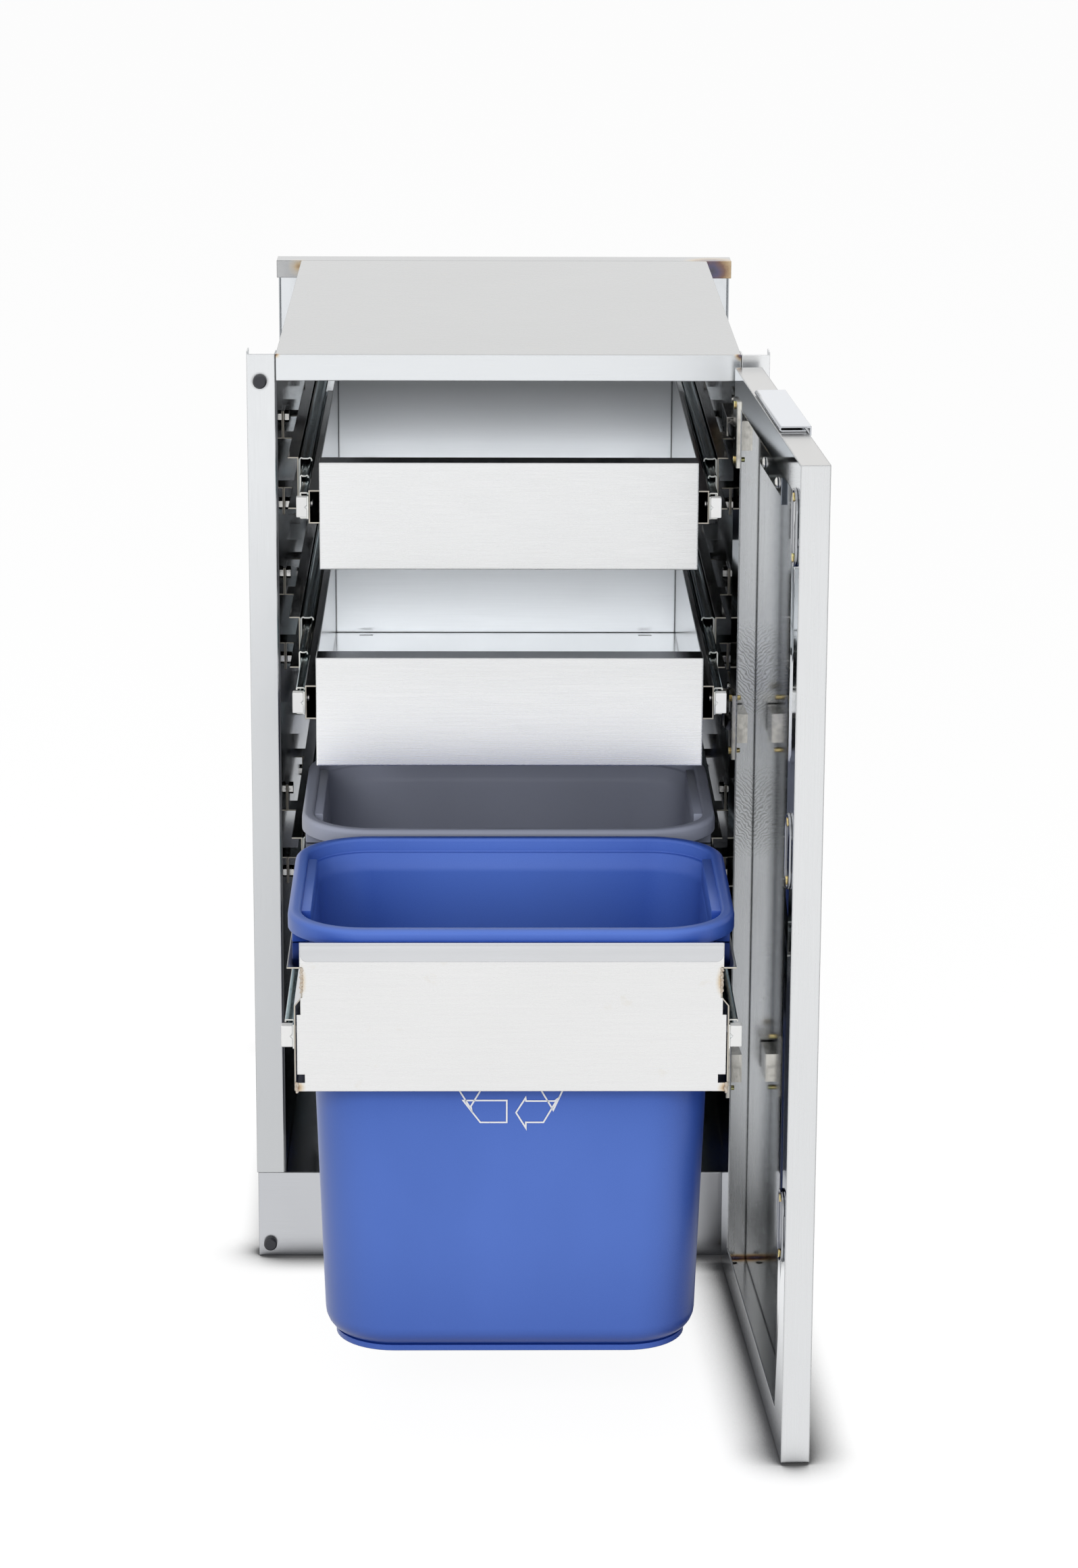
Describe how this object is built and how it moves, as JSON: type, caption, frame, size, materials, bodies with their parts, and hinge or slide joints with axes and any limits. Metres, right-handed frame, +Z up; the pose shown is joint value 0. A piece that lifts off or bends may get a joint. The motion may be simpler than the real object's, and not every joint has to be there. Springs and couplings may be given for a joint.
{
  "type": "trash bin cabinet",
  "caption": "Steel floor cabinet with an open hollow door, two drawers on slides and a pull-out carrier that holds a blue and a grey bin in tandem.",
  "frame": {"origin": "on the floor, at the middle of the toe-kick's front edge", "axes": "+X to the right as seen from the front, +Y to the rear, +Z up"},
  "size_m": [0.473, 1.1026, 0.8402],
  "materials": {
    "stainless": "satin brushed",
    "inner_steel": "mill finish",
    "zinc_slide": "clear zinc plate",
    "nickel_hinge": "nickel plate",
    "bolt_steel": "zinc plate",
    "yellow_screw": "polished",
    "black_rubber": "matte",
    "white_plastic": "smooth",
    "blue_plastic": "fine texture",
    "grey_plastic": "fine texture"
  },
  "bodies": {
    "case": {"top_panel": "stainless", "left_side_wall": "stainless", "right_side_wall": "stainless", "floor_pan": "inner_steel", "toe_kick": "stainless", "left_stile": "stainless", "right_stile": "stainless", "rear_panel": "inner_steel", "rear_rail": "stainless", "door_bumpers": "black_rubber", "upper_left_rail": "inner_steel", "upper_right_rail": "inner_steel", "middle_left_rail": "inner_steel", "middle_right_rail": "inner_steel", "lower_left_rail": "inner_steel", "lower_right_rail": "inner_steel", "rail_bolts": "bolt_steel", "upper_cabinet_members": "zinc_slide", "middle_cabinet_members": "zinc_slide", "lower_cabinet_members": "zinc_slide", "hinge_mount_plates": "nickel_hinge", "hinge_arms": "nickel_hinge", "hinge_mount_screws": "bolt_steel"},
    "door": {"door_shell": "stainless", "door_handle": "stainless", "handle_bracket": "inner_steel", "bracket_screws": "bolt_steel", "hinge_cups": "nickel_hinge", "hinge_cup_screws": "yellow_screw", "cover_plates": "nickel_hinge", "cover_screws": "yellow_screw"},
    "upper_drawer": {"upper_drawer_front": "stainless", "upper_drawer_tray": "inner_steel", "upper_drawer_back": "inner_steel", "upper_drawer_channels": "inner_steel", "upper_drawer_members": "zinc_slide", "upper_end_blocks": "white_plastic", "upper_drawer_screws": "bolt_steel"},
    "lower_drawer": {"lower_drawer_front": "stainless", "lower_drawer_tray": "inner_steel", "lower_drawer_back": "inner_steel", "lower_drawer_channels": "inner_steel", "lower_drawer_members": "zinc_slide", "middle_end_blocks": "white_plastic", "lower_drawer_screws": "bolt_steel"},
    "bin_carrier": {"carrier_front": "stainless", "carrier_left_side": "inner_steel", "carrier_right_side": "inner_steel", "carrier_back": "inner_steel", "carrier_members": "zinc_slide", "lower_end_blocks": "white_plastic", "carrier_screws": "bolt_steel"},
    "upper_slide_middle": {"upper_mid_members": "zinc_slide", "upper_ball_cages": "zinc_slide"},
    "middle_slide_middle": {"middle_mid_members": "zinc_slide", "middle_ball_cages": "zinc_slide"},
    "lower_slide_middle": {"lower_mid_members": "zinc_slide", "lower_ball_cages": "zinc_slide"},
    "blue_bin": {"blue_bin": "blue_plastic"},
    "grey_bin": {"grey_bin": "grey_plastic"}
  },
  "joints": [
    {"name": "door_hinge", "type": "hinge", "parent": "case", "child": "door", "pos_m": [0.2185, -0.027, 0], "axis": [0, 0, 1], "range_deg": [-4, 17]},
    {"name": "upper_drawer_slide", "type": "slide", "parent": "case", "child": "upper_drawer", "axis": [0, -1, 0], "range_m": [-0.112, 0.396]},
    {"name": "upper_slide_middle_slide", "type": "slide", "parent": "case", "child": "upper_slide_middle", "axis": [0, -1, 0], "range_m": [-0.0565, 0.1985]},
    {"name": "lower_drawer_slide", "type": "slide", "parent": "case", "child": "lower_drawer", "axis": [0, -1, 0], "range_m": [-0.227, 0.281]},
    {"name": "middle_slide_middle_slide", "type": "slide", "parent": "case", "child": "middle_slide_middle", "axis": [0, -1, 0], "range_m": [-0.114, 0.141]},
    {"name": "bin_carrier_slide", "type": "slide", "parent": "case", "child": "bin_carrier", "axis": [0, -1, 0], "range_m": [-0.501, 0.007]},
    {"name": "lower_slide_middle_slide", "type": "slide", "parent": "case", "child": "lower_slide_middle", "axis": [0, -1, 0], "range_m": [-0.251, 0.004]},
    {"name": "blue_bin_lift", "type": "slide", "parent": "bin_carrier", "child": "blue_bin", "axis": [0, 0, 1], "range_m": [0, 0.055]},
    {"name": "grey_bin_lift", "type": "slide", "parent": "bin_carrier", "child": "grey_bin", "axis": [0, 0, 1], "range_m": [0, 0.055]}
  ],
  "couplings": [
    {"joint": "upper_slide_middle_slide", "follows": "upper_drawer_slide", "ratio": 0.5},
    {"joint": "middle_slide_middle_slide", "follows": "lower_drawer_slide", "ratio": 0.5},
    {"joint": "lower_slide_middle_slide", "follows": "bin_carrier_slide", "ratio": 0.5}
  ]
}
